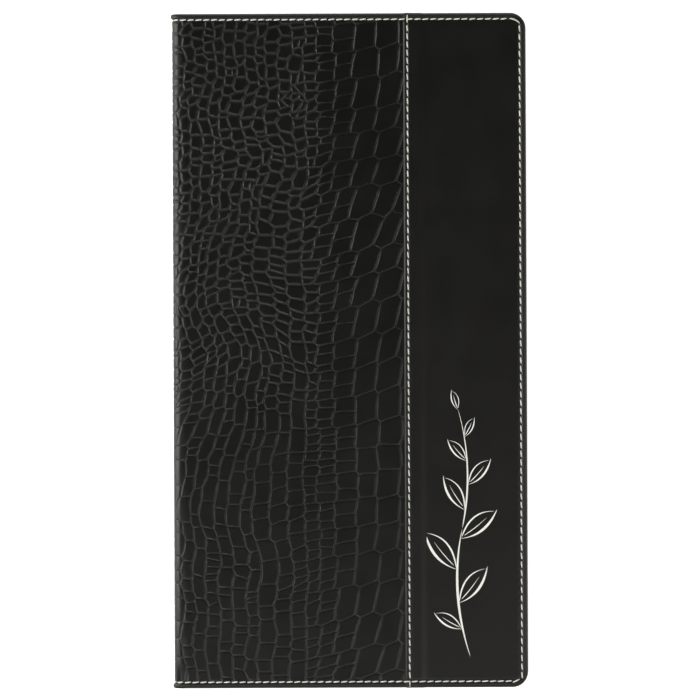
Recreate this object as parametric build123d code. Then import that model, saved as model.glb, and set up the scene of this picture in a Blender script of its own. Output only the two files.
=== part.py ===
from build123d import *
from math import pi
import os

# The closed cover lies on its back: X runs from spine to fore edge, Y up the page, Z from back to front
COVER_HEIGHT = 345.0
COVER_WIDTH = 181.0
CLOSED_THICKNESS = 12.0
CORNER_RADIUS = 8.0
SPINE_RADIUS = 4.0

# Layers of one cover, from its outer face inwards
SKIN = 1.0
BOARD = 1.5
HEM = 0.7
LINING = 0.5

# Turned edge: width of the turn-in, roundness of the rolled edge, and where the lining stops short
HEM_WIDTH = 14.0
HEM_CORNER = 2.0
OUTER_ROLL = 1.5
INNER_ROLL = 1.2
CREASE_ROLL = 0.8
LINING_MARGIN = 1.8
LINING_STEP = 0.6
LINING_FIT = 0.2

# Creases: free leather beside the boards, and the slit between the bodies that fold
BOARD_MARGIN = 0.5
CREASE_GAP = 0.3

# Plain strip along the fore edge, folded over and lapped on the embossed panel
STRIP_WIDTH = 62.7
LAP = 8.0
LAP_GAP = 0.2
LAP_SKIVE = 0.4
FOLD_RISE = 0.4
FOLD_RAMP = 3.0

# Top stitching: rows, single stitches and the groove that the thread pulls into the leather
EDGE_INSET = 3.2
SEAM_INSET = 2.1
ROW_PITCH = 4.0
SIDE_PITCH = 4.35
SEAM_PITCH = 4.15
STITCH_LENGTH = 3.1
STITCH_WIDTH = 0.8
STITCH_DEPTH = 0.4
STITCH_SLANT = 6.0
STITCH_SINK = 0.05
GROOVE_WIDTH = 1.4

# Clear sleeves that turn like pages, and the sheets in them
LEAF = 1.4
FILM = 0.2
WELD = 3.0
WELD_DRAFT = 55.0
LEAF_MARGIN = 5.0
LEAF_CORNER = 3.0
LEAF_PIVOT = 6.0
LEAF_ROOT = 0.4
THUMB_RADIUS = 9.0
SHEET = 0.35
SHEET_GAP = 0.1
SHEET_CLEARANCE = 1.0
SHEET_DROP = 3.0

# Fold that joins the sleeves, and the ribbon that holds it in the spine
FOLD_SHEET = 0.3
FOLD_SHOULDER = 1.4
RIBBON = 0.6
RIBBON_CLEARANCE = 0.1
RIBBON_OVERRUN = 2.5
RIBBON_RAMP = 3.0
RIBBON_LANDING = 4.0

# Planes and levels that follow from the sizes above
LEFT = -COVER_WIDTH / 2
RIGHT = COVER_WIDTH / 2
TOP = COVER_HEIGHT / 2
MIDDLE = CLOSED_THICKNESS / 2
STACK = SKIN + BOARD + HEM
COVER_STACK = STACK + LINING
BOARD_LEFT = LEFT + SPINE_RADIUS + HEM + BOARD_MARGIN
PANEL_LEFT = BOARD_LEFT - HEM
FOLD_X = RIGHT - STRIP_WIDTH
HEMMED = SKIN + HEM
SPINE_STACK = HEMMED + LINING
BETWEEN_HEMS = TOP - HEM_WIDTH - LINING_FIT
GROOVE = STITCH_DEPTH + STITCH_SINK
LEAF_SPACE = (CLOSED_THICKNESS - 2 * COVER_STACK - 2 * LEAF) / 3
LEAF_OFFSET = (LEAF + LEAF_SPACE) / 2
LEAF_LEFT = LEFT + LEAF_PIVOT + LEAF_ROOT
LEAF_RIGHT = RIGHT - LEAF_MARGIN
LEAF_TOP = TOP - LEAF_MARGIN
CREASE_ANGLE = CREASE_GAP / 2 / SPINE_RADIUS * 180 / pi
FAR = 2 * CLOSED_THICKNESS
TOLERANCE = 0.001


def panel(inset, left, radius):
    """Outline of a cover, square at the spine and rounded at the fore edge."""
    right = RIGHT - inset
    half = TOP - inset
    face = Pos((left + right) / 2, 0) * Rectangle(right - left, 2 * half)
    return fillet(face.vertices().group_by(Axis.X)[-1], radius)


def slab(inset, left, radius, low, high):
    return extrude(Pos(0, 0, low) * panel(inset, left, radius), high - low)


def block(x0, x1, y0, y1, z0, z1):
    size = Box(x1 - x0, y1 - y0, z1 - z0)
    return Pos((x0 + x1) / 2, (y0 + y1) / 2, (z0 + z1) / 2) * size


def along_page(face, low, high):
    """Run a section drawn across the spine from one height of the page to another."""
    return extrude(Plane.XZ.offset(-high) * face, high - low)


def to_front(shape):
    """The front cover is the back cover seen in a mirror half way through the thickness."""
    return mirror(shape, about=Plane.XY.offset(MIDDLE))


def sector(centre_z, shallow, deep, start, sweep):
    """Slice of the rounded spine corner, between two depths below its outer face."""
    centre = (LEFT + SPINE_RADIUS, centre_z)
    outer = CenterArc(centre, SPINE_RADIUS - shallow, start, sweep)
    inner = CenterArc(centre, SPINE_RADIUS - deep, start, sweep)
    return make_face([outer, inner, Line(outer @ 0, inner @ 0), Line(outer @ 1, inner @ 1)])


def crease_section(shallow, deep):
    """Half of the rounded corner and the free leather up to the panel, on the cover's side."""
    bend = sector(SPINE_RADIUS, shallow, deep, 225 + CREASE_ANGLE, 45 - CREASE_ANGLE)
    run = PANEL_LEFT - LEFT - SPINE_RADIUS
    flat = Pos(PANEL_LEFT - run / 2, (shallow + deep) / 2) * Rectangle(run, deep - shallow)
    return bend + flat


def spine_section(shallow, deep):
    """Rounded channel from crease to crease, between two depths below its outer face."""
    low_bend = sector(SPINE_RADIUS, shallow, deep, 180, 45 - CREASE_ANGLE)
    high_bend = sector(CLOSED_THICKNESS - SPINE_RADIUS, shallow, deep, 180, CREASE_ANGLE - 45)
    width = CLOSED_THICKNESS - 2 * SPINE_RADIUS
    flat = Pos(LEFT + (shallow + deep) / 2, MIDDLE) * Rectangle(deep - shallow, width)
    return low_bend + flat + high_bend


def turned_leather(section, run):
    """Leather doubled by its turn-in at head and tail, with the doubled edges rolled round."""
    body = along_page(section(0, HEMMED), -TOP, TOP)
    ends = body.edges().filter_by(lambda e: abs(abs(e.center().Y) - TOP) < TOLERANCE)
    arcs = ends.filter_by(GeomType.CIRCLE)
    body = fillet(arcs + ends.filter_by(run), CREASE_ROLL)
    return body - along_page(section(SKIN, HEMMED), HEM_WIDTH - TOP, TOP - HEM_WIDTH)


def rolled_envelope():
    """Outside of the wrapped panel, with soft edges on its three free sides."""
    body = slab(0, PANEL_LEFT, CORNER_RADIUS, 0, STACK)
    free = body.edges().filter_by(lambda e: e.center().X > PANEL_LEFT + TOLERANCE)
    body = fillet(free.group_by(Axis.Z)[0], OUTER_ROLL)
    free = body.edges().filter_by(lambda e: e.center().X > PANEL_LEFT + TOLERANCE)
    return fillet(free.group_by(Axis.Z)[-1], INNER_ROLL)


def stitch_band(low, high):
    """Band along the top stitching on head, fore edge and tail."""
    half = GROOVE_WIDTH / 2
    start = LEFT + SPINE_RADIUS
    outer = EDGE_INSET - half
    inner = EDGE_INSET + half
    return (slab(outer, start, CORNER_RADIUS - outer, low, high)
            - slab(inner, start - GROOVE_WIDTH, CORNER_RADIUS - inner, low - SKIN, high + SKIN))


def board():
    return slab(SKIN, BOARD_LEFT, CORNER_RADIUS - SKIN, SKIN, SKIN + BOARD)


def wrapped_skin():
    """Leather round three edges of the board, with its turn-in, stitch groove and crease."""
    hem_end = TOP - HEM_WIDTH
    window = slab(HEM_WIDTH, BOARD_LEFT, HEM_CORNER, SKIN + BOARD, STACK + SKIN)
    window += block(PANEL_LEFT - HEM, BOARD_LEFT, -hem_end, hem_end, SKIN, STACK + SKIN)
    skin = rolled_envelope() - board() - window
    skin += turned_leather(crease_section, Axis.X)
    return skin - stitch_band(-SKIN, GROOVE)


def lining():
    """Sheet over the turn-ins that steps down to the board inside them."""
    inside = HEM_WIDTH + LINING_FIT
    recess = inside + LINING_STEP
    sheet = slab(LINING_MARGIN, BOARD_LEFT, CORNER_RADIUS - LINING_MARGIN, STACK, COVER_STACK)
    sheet += slab(inside, BOARD_LEFT, HEM_CORNER - LINING_FIT, SKIN + BOARD, COVER_STACK)
    return sheet - slab(recess, BOARD_LEFT - HEM, HEM_CORNER - LINING_FIT,
                        SKIN + BOARD + LINING, FAR)


def lapped_tongue(length):
    """Thinned edge of the embossed panel, or the room for it under the plain strip."""
    half = TOP - OUTER_ROLL
    return block(FOLD_X, FOLD_X + length, -half, half, LAP_SKIVE, SKIN)


def croc_panel():
    skin = split(wrapped_skin(), bisect_by=Plane.YZ.offset(FOLD_X), keep=Keep.BOTTOM)
    return skin + lapped_tongue(LAP - LAP_GAP)


def folded_edge():
    """Doubled edge of the plain strip, round at the fold and ramped down to the face."""
    nose = (FOLD_RISE + LAP_SKIVE) / 2
    top = LAP_SKIVE - 2 * nose
    bend = CenterArc((FOLD_X + nose, LAP_SKIVE - nose), nose, 90, 180)
    ramp_end = (FOLD_X + LAP + FOLD_RAMP, 0)
    rim = Polyline(bend @ 1, (FOLD_X + LAP, top), ramp_end, (FOLD_X + LAP, LAP_SKIVE), bend @ 0)
    half = TOP - OUTER_ROLL
    body = along_page(make_face([bend, rim]), -half, half)
    tips = body.edges().filter_by(lambda e: abs(abs(e.center().Y) - half) < TOLERANCE)
    flat_tips = tips.filter_by(Axis.X).group_by(Axis.Z)[0]
    return chamfer(flat_tips, FOLD_RISE * 0.9)


def plain_strip():
    skin = split(wrapped_skin(), bisect_by=Plane.YZ.offset(FOLD_X), keep=Keep.TOP)
    skin = skin - lapped_tongue(LAP) + folded_edge()
    lap_floor = GROOVE - FOLD_RISE
    off_lap = block(FOLD_X + LAP, RIGHT, -TOP, TOP, -SKIN, GROOVE)
    skin -= stitch_band(-SKIN, lap_floor) + (stitch_band(-SKIN, GROOVE) & off_lap)
    seam_x = FOLD_X + SEAM_INSET
    half_groove = GROOVE_WIDTH / 2
    half = TOP - OUTER_ROLL
    return skin - block(seam_x - half_groove, seam_x + half_groove, -half, half, -SKIN, lap_floor)


def row(start, end, pitch):
    """Middles of the stitches that fit between two ends, spread evenly about the centre."""
    count = int((end - start - STITCH_LENGTH) // pitch) + 1
    first = (start + end - (count - 1) * pitch) / 2
    return [first + number * pitch for number in range(count)]


def stitch(x, y, heading, level=0.0):
    """One stitch lying on the floor of the groove, its top just under the leather's face."""
    thread = Box(STITCH_LENGTH, STITCH_WIDTH, STITCH_DEPTH)
    return Pos(x, y, level + GROOVE - STITCH_DEPTH / 2) * Rot(0, 0, heading) * thread


def edge_stitches(lap):
    """Head, tail, fore edge and the two corner stitches of one cover; lap gives the raised part."""
    line = TOP - EDGE_INSET
    stitches = []
    for x in row(LEFT + SPINE_RADIUS, RIGHT - CORNER_RADIUS, ROW_PITCH):
        on_lap = lap and abs(x - FOLD_X - LAP / 2) < (LAP + STITCH_LENGTH) / 2
        level = -FOLD_RISE if on_lap else 0.0
        stitches += [stitch(x, line, STITCH_SLANT, level), stitch(x, -line, STITCH_SLANT, level)]
    side = TOP - CORNER_RADIUS
    for y in row(-side, side, SIDE_PITCH):
        stitches.append(stitch(RIGHT - EDGE_INSET, y, 90 + STITCH_SLANT))
    reach = (CORNER_RADIUS - EDGE_INSET) / 2 ** 0.5
    corner_x = RIGHT - CORNER_RADIUS + reach
    corner_y = TOP - CORNER_RADIUS + reach
    return stitches + [stitch(corner_x, corner_y, -45), stitch(corner_x, -corner_y, 45)]


def seam_stitches():
    """Row beside the fold, which stops under the rows along head and tail."""
    half = TOP - EDGE_INSET - GROOVE_WIDTH / 2
    seam_x = FOLD_X + SEAM_INSET
    return [stitch(seam_x, y, 90 + STITCH_SLANT, -FOLD_RISE) for y in row(-half, half, SEAM_PITCH)]


def spine_groove_stitch(height, extra):
    """Room for one stitch across the flat of the spine, or the stitch itself."""
    half = (STITCH_WIDTH + extra) / 2
    length = (STITCH_LENGTH + extra) / 2
    shallow = -extra if extra else STITCH_SINK
    return block(LEFT + shallow, LEFT + GROOVE, height - half, height + half,
                 MIDDLE - length, MIDDLE + length)


def spine_skin():
    skin = turned_leather(spine_section, Axis.Z)
    line = TOP - EDGE_INSET
    extra = GROOVE_WIDTH - STITCH_WIDTH
    return skin - spine_groove_stitch(line, extra) - spine_groove_stitch(-line, extra)


def spine_stitches():
    line = TOP - EDGE_INSET
    return [spine_groove_stitch(line, 0), spine_groove_stitch(-line, 0)]


def spine_stiffener():
    """Strip between the turn-ins, glued behind the flat of the spine."""
    return block(LEFT + SKIN, LEFT + HEMMED, -BETWEEN_HEMS, BETWEEN_HEMS,
                 SPINE_RADIUS, CLOSED_THICKNESS - SPINE_RADIUS)


def spine_lining():
    half = TOP - LINING_MARGIN
    return along_page(spine_section(HEMMED, SPINE_STACK), -half, half)


def insert_fold():
    """Gutter of the insert: a base on the spine lining and a wing to the root of each sleeve."""
    base_x = LEFT + SPINE_STACK + FOLD_SHEET / 2
    shoulder_x = base_x + FOLD_SHOULDER
    tip_x = LEFT + LEAF_PIVOT - LEAF_ROOT
    low = SPINE_RADIUS + FOLD_SHEET / 2
    high = CLOSED_THICKNESS - low
    route = Polyline((tip_x, MIDDLE - LEAF_OFFSET), (shoulder_x, low), (base_x, low),
                     (base_x, high), (shoulder_x, high), (tip_x, MIDDLE + LEAF_OFFSET))
    return along_page(trace(route, FOLD_SHEET), -BETWEEN_HEMS, BETWEEN_HEMS)


def insert_ribbon():
    """Flat ribbon along the gutter, sewn to the spine lining beyond both ends of the fold."""
    floor = LEFT + SPINE_STACK
    crown = floor + FOLD_SHEET
    ramp = BETWEEN_HEMS + RIBBON_OVERRUN
    foot = ramp + RIBBON_RAMP
    tip = foot + RIBBON_LANDING
    under = [(floor, -tip), (floor, -foot), (crown, -ramp), (crown, ramp), (floor, foot), (floor, tip)]
    over = [(x + RIBBON, y) for x, y in reversed(under)]
    side = make_face(Polyline(*under, *over, close=True))
    width = CLOSED_THICKNESS - 2 * (SPINE_RADIUS + FOLD_SHEET + RIBBON_CLEARANCE)
    return extrude(Pos(0, 0, MIDDLE - width / 2) * side, width)


def ribbon_stitches():
    """Two bars of thread that hold each end of the ribbon down."""
    face = LEFT + SPINE_STACK + RIBBON
    width = CLOSED_THICKNESS - 2 * (SPINE_RADIUS + FOLD_SHEET + RIBBON_CLEARANCE) - STITCH_WIDTH
    landing = BETWEEN_HEMS + RIBBON_OVERRUN + RIBBON_RAMP
    bars = []
    for side in (-1, 1):
        for share in (0.3, 0.7):
            y = side * (landing + share * RIBBON_LANDING)
            thread = Box(STITCH_DEPTH / 2, STITCH_WIDTH / 2, width)
            bars.append(Pos(face + STITCH_DEPTH / 4, y, MIDDLE) * thread)
    return bars


def pillow(inset, half_thickness, top):
    """Flat pouch with sloping welded sides, cut square at its mouth."""
    left = LEAF_LEFT + inset
    right = LEAF_RIGHT - inset
    bottom = inset - LEAF_TOP
    reach = top + FAR
    base = Pos((left + right) / 2, (bottom + reach) / 2) * Rectangle(right - left, reach - bottom)
    body = extrude(base, half_thickness, taper=WELD_DRAFT)
    body += mirror(body, about=Plane.XY)
    return split(body, bisect_by=Plane.XZ.offset(-top), keep=Keep.TOP)


def sleeve_blank():
    """Clear sleeve about the plane Z = 0: welded rim, open mouth at the head, thumb notch."""
    width = LEAF_RIGHT - LEAF_LEFT
    rim = Pos((LEAF_LEFT + LEAF_RIGHT) / 2, 0) * Rectangle(width, 2 * LEAF_TOP)
    rim = fillet(rim.vertices().group_by(Axis.X)[-1], LEAF_CORNER)
    sleeve = extrude(rim, FILM, both=True) + pillow(WELD, LEAF / 2, LEAF_TOP)
    sleeve -= pillow(WELD + FILM, LEAF / 2 - FILM, LEAF_TOP + FILM)
    thumb = Pos((LEAF_LEFT + LEAF_RIGHT) / 2, LEAF_TOP) * Cylinder(THUMB_RADIUS, FAR)
    return sleeve - thumb


def menu_sheet(side):
    """Trimmed sheet inside a sleeve, on the one or the other side of its middle plane."""
    inset = WELD + FILM + LEAF / 2 + SHEET_CLEARANCE
    left = LEAF_LEFT + inset
    right = LEAF_RIGHT - inset
    middle = side * (SHEET + SHEET_GAP) / 2
    return block(left, right, inset - LEAF_TOP, LEAF_TOP - SHEET_DROP,
                 middle - SHEET / 2, middle + SHEET / 2)


def build_nodes():
    back_leaf = Pos(0, 0, MIDDLE - LEAF_OFFSET)
    front_leaf = Pos(0, 0, MIDDLE + LEAF_OFFSET)
    sleeve = sleeve_blank()
    return {
        "back_board": board(),
        "back_skin": wrapped_skin(),
        "back_lining": lining(),
        "back_stitches": Compound(edge_stitches(lap=False)),
        "spine_skin": spine_skin(),
        "spine_stiffener": spine_stiffener(),
        "spine_lining": spine_lining(),
        "spine_stitches": Compound(spine_stitches()),
        "insert_fold": insert_fold(),
        "insert_ribbon": insert_ribbon(),
        "ribbon_stitches": Compound(ribbon_stitches()),
        "front_board": to_front(board()),
        "front_croc_panel": to_front(croc_panel()),
        "front_plain_strip": to_front(plain_strip()),
        "front_lining": to_front(lining()),
        "front_stitches": to_front(Compound(edge_stitches(lap=True))),
        "seam_stitches": to_front(Compound(seam_stitches())),
        "back_sleeve": back_leaf * sleeve,
        "back_sleeve_rear_sheet": back_leaf * menu_sheet(-1),
        "back_sleeve_fore_sheet": back_leaf * menu_sheet(1),
        "front_sleeve": front_leaf * sleeve,
        "front_sleeve_rear_sheet": front_leaf * menu_sheet(-1),
        "front_sleeve_fore_sheet": front_leaf * menu_sheet(1),
    }


os.makedirs("parts", exist_ok=True)
for name, shape in build_nodes().items():
    export_step(shape, f"parts/{name}.step")
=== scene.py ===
# %% [markdown]
# A menu cover is a thin book without pages: two boards and a soft spine, wrapped in leatherette.
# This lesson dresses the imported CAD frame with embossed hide, turned edges, top stitching and
# clear sleeves. Everything is in metres and stays in the frame's own axes:
# X from spine to fore edge, Y up the page, Z from the back face to the front face.

# %% Load the frame and read the sizes that the finish follows
import math
import random

import bmesh
import bpy
from mathutils import Matrix, Vector, kdtree
from mathutils.geometry import intersect_line_line_2d


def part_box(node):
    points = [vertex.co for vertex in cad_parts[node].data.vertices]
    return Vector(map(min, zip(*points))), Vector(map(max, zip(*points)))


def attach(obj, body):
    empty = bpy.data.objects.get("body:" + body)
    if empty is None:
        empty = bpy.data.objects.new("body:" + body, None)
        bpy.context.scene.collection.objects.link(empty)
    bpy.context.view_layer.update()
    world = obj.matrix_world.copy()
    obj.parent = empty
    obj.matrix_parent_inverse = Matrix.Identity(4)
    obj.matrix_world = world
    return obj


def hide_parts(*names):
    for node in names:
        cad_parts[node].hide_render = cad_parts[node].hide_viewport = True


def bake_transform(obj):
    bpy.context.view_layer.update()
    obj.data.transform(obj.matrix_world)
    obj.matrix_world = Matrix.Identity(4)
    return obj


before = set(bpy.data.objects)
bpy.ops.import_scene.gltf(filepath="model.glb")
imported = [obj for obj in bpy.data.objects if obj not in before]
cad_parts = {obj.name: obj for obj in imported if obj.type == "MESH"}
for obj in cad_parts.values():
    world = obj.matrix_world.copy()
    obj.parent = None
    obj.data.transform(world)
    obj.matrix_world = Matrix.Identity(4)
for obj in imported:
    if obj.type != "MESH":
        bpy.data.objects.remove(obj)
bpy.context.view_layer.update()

MM = 0.001
back_low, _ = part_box("back_skin")
panel_low, panel_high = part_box("front_croc_panel")
strip_low, strip_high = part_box("front_plain_strip")
spine_low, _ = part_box("spine_skin")
board_low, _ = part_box("front_board")
lining_low, lining_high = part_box("front_lining")

LEFT = spine_low[0]
RIGHT = strip_high[0]
HEAD = strip_high[1]
BACK = back_low[2]
FACE = panel_high[2]
LAP_TOP = strip_high[2]
FOLD_X = strip_low[0]
BOARD_LEFT = board_low[0]
MIDDLE = (FACE + BACK) / 2
STACK = panel_high[2] - panel_low[2]
LAP_RISE = LAP_TOP - FACE
print("cover", [round(v / MM, 1) for v in (RIGHT - LEFT, 2 * HEAD, FACE - BACK)],
      "strip from", round(FOLD_X / MM, 2))

# %% [markdown]
# The CAD file isn't open to a scene, so the few sizes that a box can't tell are named here:
# how round the spine is, how far the stitch rows sit from the edges, and the stitch spacing.

# %% Name the sizes of spine, corners and stitching
SPINE_RADIUS = 4.0 * MM
CORNER_RADIUS = 8.0 * MM
EDGE_INSET = 3.2 * MM
SEAM_INSET = 2.1 * MM
ROW_PITCH = 4.0 * MM
SIDE_PITCH = 4.35 * MM
SEAM_PITCH = 4.15 * MM
STITCH_LENGTH = 3.1 * MM
STITCH_SLANT = math.radians(6.0)
LAP = 8.0 * MM
LAP_RAMP = 3.0 * MM
HEMMED = 1.7 * MM
LINING_MARGIN = HEAD - lining_high[1]
LINING_STACK = FACE - lining_low[2]
GROOVE_DEPTH = 0.4 * MM
GROOVE_HALF = 0.8 * MM

LINE = HEAD - EDGE_INSET

# The hide tilts softly over a wide shoulder before it turns tightly round the spine.
SHOULDER_RADIUS = 24.0 * MM
SHOULDER_TILT = math.radians(10)
BETWEEN_CENTRES = SHOULDER_RADIUS - SPINE_RADIUS
SHOULDER_X = LEFT + SPINE_RADIUS + BETWEEN_CENTRES * math.sin(SHOULDER_TILT)
SPINE_FLAT = MIDDLE - BACK - SHOULDER_RADIUS + BETWEEN_CENTRES * math.cos(SHOULDER_TILT)
SPINE_BEND = SPINE_FLAT + SPINE_RADIUS * (math.pi / 2 - SHOULDER_TILT)
SPINE_RUN = SPINE_BEND + SHOULDER_RADIUS * SHOULDER_TILT


def run_at(x):
    """Length along the hide from the middle of the spine to a place on a cover."""
    return SPINE_RUN + x - SHOULDER_X


def clamped(value):
    return min(max(value, 0.0), 1.0)


def rim_dip(rim):
    """How deep the thread presses the leather down, this far inside the stitch line."""
    return GROOVE_DEPTH * max(1 - rim / GROOVE_HALF, 0.0)


FOLD_RUN = run_at(FOLD_X)
FORE_RUN = run_at(RIGHT)
BOARD_RUN = run_at(BOARD_LEFT)
print("from mid spine to fold", round(FOLD_RUN / MM, 1), "and fore edge", round(FORE_RUN / MM, 1))

# %% [markdown]
# The photograph looks square on to the closed front. The camera therefore hangs over the cover,
# which lies on its back, with a long lens so that the thin sides stay hidden.
# The frame is as wide as the photograph's 700 pixels measure on the front face.

# %% Hang the camera over the front
PICTURE_WIDTH = 357.8 * MM
CAMERA_HEIGHT = 2.0
SENSOR = 36.0
LEAN = math.radians(0.24)
AIM_Y = 0.3 * MM
FAR = 20.0


def put(name, data, place=(0.0, 0.0, 0.0), turn=(0.0, 0.0, 0.0)):
    """A new object in the scene."""
    thing = bpy.data.objects.new(name, data)
    thing.location = place
    thing.rotation_euler = turn
    bpy.context.scene.collection.objects.link(thing)
    return thing


camera_data = bpy.data.cameras.new("camera")
camera_data.sensor_width = SENSOR
camera_data.lens = SENSOR * CAMERA_HEIGHT / PICTURE_WIDTH
camera_data.clip_end = FAR
camera = put("camera", camera_data, (0.0, AIM_Y, FACE + CAMERA_HEIGHT), (0.0, 0.0, -LEAN))
bpy.context.scene.camera = camera
bpy.context.scene.view_settings.view_transform = "Standard"
print("lens", round(camera_data.lens, 1))

# %% [markdown]
# Black leather shows its relief only by reflected light. Copy stands light it from the sides, so
# that the dark ceiling is mirrored in the flat faces and the lamps in the slopes of the scales.
# The main lamp stands at the left, as the bright spine in the photograph says.

# %% Set up the lamps
DAYLIGHT = (0.985, 1.0, 0.95)
LAMPLIGHT = (1.0, 0.93, 0.82)
LAMPS = {
    # place and size in m, power in W, and tint; every lamp looks at the middle of the cover
    "left_window": ((-1.42, 0.22, 0.8), (1.0, 1.6), 33.0, DAYLIGHT),
    "tail_softbox": ((-0.5, -0.85, 1.62), (0.6, 0.6), 8.8, DAYLIGHT),
    "fore_softbox": ((0.62, -0.62, 1.6), (0.5, 0.5), 6.0, LAMPLIGHT),
    "head_softbox": ((0.2, 1.5, 0.8), (1.3, 0.6), 6.0, DAYLIGHT),
    "right_card": ((1.5, -0.2, 0.8), (0.6, 1.2), 7.0, DAYLIGHT),
}


def area_lamp(name, place, size, power, tint):
    data = bpy.data.lights.new(name, "AREA")
    data.shape = "RECTANGLE"
    data.size, data.size_y = size
    data.energy = power
    data.color = tint
    put(name, data, place, (-Vector(place)).to_track_quat("-Z", "Y").to_euler())


for name, values in LAMPS.items():
    area_lamp(name, *values)

# %% [markdown]
# The world and every material are node trees, so a few helpers add a node, feed its sockets and
# do sums. The leather mirrors a dark ceiling and a bright sweep near the horizon, while the
# camera sees plain white. The floor takes the lamps' light, and is lifted to the same white.

# %% Paint the world and the floor
SWEEP = ((0.0, 1.2), (0.2, 0.66), (0.5, 0.09), (1.0, 0.006))
WHITE = (1.0, 1.0, 1.0, 1.0)
FLOOR_GREY = (0.8, 0.8, 0.8, 1.0)
FLOOR_LIFT = 0.72
FLOOR_GAP = 0.3 * MM
FLOOR_HALF = 3.0


def emptied(owner):
    owner.use_nodes = True
    owner.node_tree.nodes.clear()
    return owner.node_tree


def feed(tree, socket, value):
    """Links a socket to the output of another node, or else sets it."""
    if isinstance(value, bpy.types.NodeSocket):
        tree.links.new(value, socket)
    else:
        socket.default_value = value


def add(tree, kind, **sockets):
    """A new node of this kind, with its named sockets fed."""
    node = tree.nodes.new("ShaderNode" + kind)
    for label, value in sockets.items():
        feed(tree, node.inputs[label.replace("_", " ")], value)
    return node


def join(tree, node, *values):
    """Feeds a node's first sockets in their order, and returns what it puts out."""
    for socket, value in zip(node.inputs, values):
        feed(tree, socket, value)
    return node.outputs[0]


def maths(tree, kind, *values):
    node = add(tree, "Math")
    node.operation = kind
    return join(tree, node, *values)


def ramp(tree, value, stops):
    node = add(tree, "ValToRGB", Fac=value)
    while len(node.color_ramp.elements) < len(stops):
        node.color_ramp.elements.new(0.5)
    for element, (place, colour) in zip(node.color_ramp.elements, stops):
        element.position = place
        element.color = (*colour, 1.0)
    return node.outputs["Color"]


def choose_by_ray(tree, usual, chosen, rays):
    """Shows these kinds of ray the chosen shader, and all others the usual one."""
    path = add(tree, "LightPath").outputs
    share = path[rays[0]]
    for ray in rays[1:]:
        share = maths(tree, "MAXIMUM", share, path[ray])
    return join(tree, add(tree, "MixShader"), share, usual, chosen)


def studio_world():
    """Dark ceiling, bright sweep near the horizon, and plain white for the camera."""
    world = bpy.data.worlds.new("studio")
    bpy.context.scene.world = world
    tree = emptied(world)
    direction = add(tree, "SeparateXYZ", Vector=add(tree, "TexCoord").outputs["Generated"])
    stops = [(place, (level, level, level)) for place, level in SWEEP]
    room = add(tree, "Background", Color=ramp(tree, direction.outputs["Z"], stops))
    backdrop = add(tree, "Background", Color=WHITE)
    seen = choose_by_ray(tree, room.outputs[0], backdrop.outputs[0],
                         ("Is Camera Ray", "Is Transmission Ray"))
    add(tree, "OutputWorld", Surface=seen)


def mesh_data(name, mesh):
    data = bpy.data.meshes.new(name)
    mesh.to_mesh(data)
    mesh.free()
    return data


def make_floor():
    mesh = bmesh.new()
    bmesh.ops.create_grid(mesh, x_segments=4, y_segments=4, size=FLOOR_HALF)
    floor = put("floor", mesh_data("floor", mesh), (0.0, 0.0, BACK - FLOOR_GAP))
    paint = bpy.data.materials.new("floor_paint")
    tree = emptied(paint)
    matt = add(tree, "BsdfDiffuse", Color=FLOOR_GREY).outputs[0]
    lift = add(tree, "Emission", Strength=FLOOR_LIFT).outputs[0]
    lifted = join(tree, add(tree, "AddShader"), matt, lift)
    seen = choose_by_ray(tree, matt, lifted,
                         ("Is Camera Ray", "Is Glossy Ray", "Is Transmission Ray"))
    add(tree, "OutputMaterial", Surface=seen)
    floor.data.materials.append(paint)


studio_world()
make_floor()
print("floor at", round((BACK - FLOOR_GAP) / MM, 1))

# %% [markdown]
# Leather, thread and cloth share a few effects. Each one is a node group with named sockets, so
# that every material places it with its own values. A group puts out a value, never a shader.

# %% Build the shared effects: fine grain, twisted thread and weave


def new_group(name, place, **numbers):
    """A group that makes a height from a place and some numbers, with their usual values."""
    group = bpy.data.node_groups.new(name, "ShaderNodeTree")
    group.interface.new_socket(name=place, in_out="INPUT", socket_type="NodeSocketVector")
    for label, value in numbers.items():
        socket = group.interface.new_socket(name=label.replace("_", " "), in_out="INPUT",
                                            socket_type="NodeSocketFloat")
        socket.default_value = value
    group.interface.new_socket(name="Height", in_out="OUTPUT", socket_type="NodeSocketFloat")
    given = group.nodes.new("NodeGroupInput").outputs
    return group, given, group.nodes.new("NodeGroupOutput").inputs[0]


def grain_group():
    """Fine leather grain: small pores over soft, larger unevenness."""
    group, given, height = new_group("leather_grain", "Position", Pore_Size=0.45 * MM,
                                     Unevenness=0.4)
    scale = maths(group, "DIVIDE", 1.0, given["Pore Size"])
    pores = add(group, "TexVoronoi", Vector=given["Position"], Scale=scale)
    pores.feature = "SMOOTH_F1"
    pores.inputs["Smoothness"].default_value = 0.35
    broad = add(group, "TexNoise", Vector=given["Position"], Detail=4.0,
                Scale=maths(group, "MULTIPLY", scale, 0.16))
    uneven = maths(group, "MULTIPLY", broad.outputs["Fac"], given["Unevenness"])
    feed(group, height, maths(group, "ADD", pores.outputs["Distance"], uneven))
    return group


def twist_group():
    """Ridges of a twisted thread, running slantwise over the thread's own UV map."""
    group, given, height = new_group("thread_twist", "UV", Turns=9.0)
    place = add(group, "SeparateXYZ", Vector=given["UV"]).outputs
    along = maths(group, "MULTIPLY", place["Y"], given["Turns"])
    around = maths(group, "MULTIPLY", place["X"], 2.0)
    phase = maths(group, "MULTIPLY", maths(group, "ADD", along, around), 2 * math.pi)
    feed(group, height, maths(group, "SINE", phase))
    return group


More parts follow.
